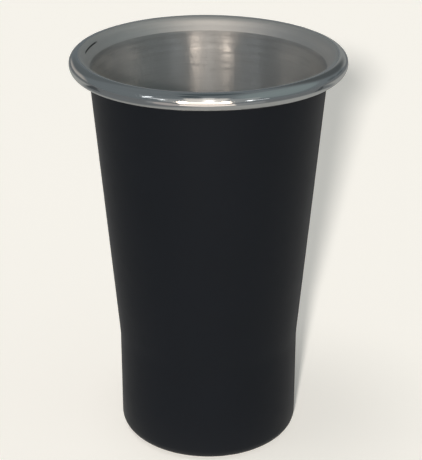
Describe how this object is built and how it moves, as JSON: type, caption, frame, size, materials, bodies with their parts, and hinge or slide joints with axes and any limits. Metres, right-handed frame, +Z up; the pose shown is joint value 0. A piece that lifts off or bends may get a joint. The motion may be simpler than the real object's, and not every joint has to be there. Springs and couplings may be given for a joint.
{
  "type": "aluminium drinking cup",
  "caption": "Tall spun aluminium cup with a straight lower barrel, a wall that opens upwards, a hollow rolled rim and a matt black coat outside, for long iced drinks.",
  "frame": {"origin": "centre of the base, on the plane that the cup stands on", "axes": "+Z up along the cup's axis, towards the mouth; the cup is round, so +X and +Y are free, and -Y is the side that faces the camera"},
  "size_m": [0.11, 0.11, 0.166],
  "materials": {
    "spun_aluminium": "satin with fine turning marks round the axis, smoother on the rolled rim",
    "black_powder_coat": "matt, fine-grained baked powder coat"
  },
  "bodies": {
    "root": {"cup_shell": "spun_aluminium", "outer_coat": "black_powder_coat"}
  },
  "joints": []
}
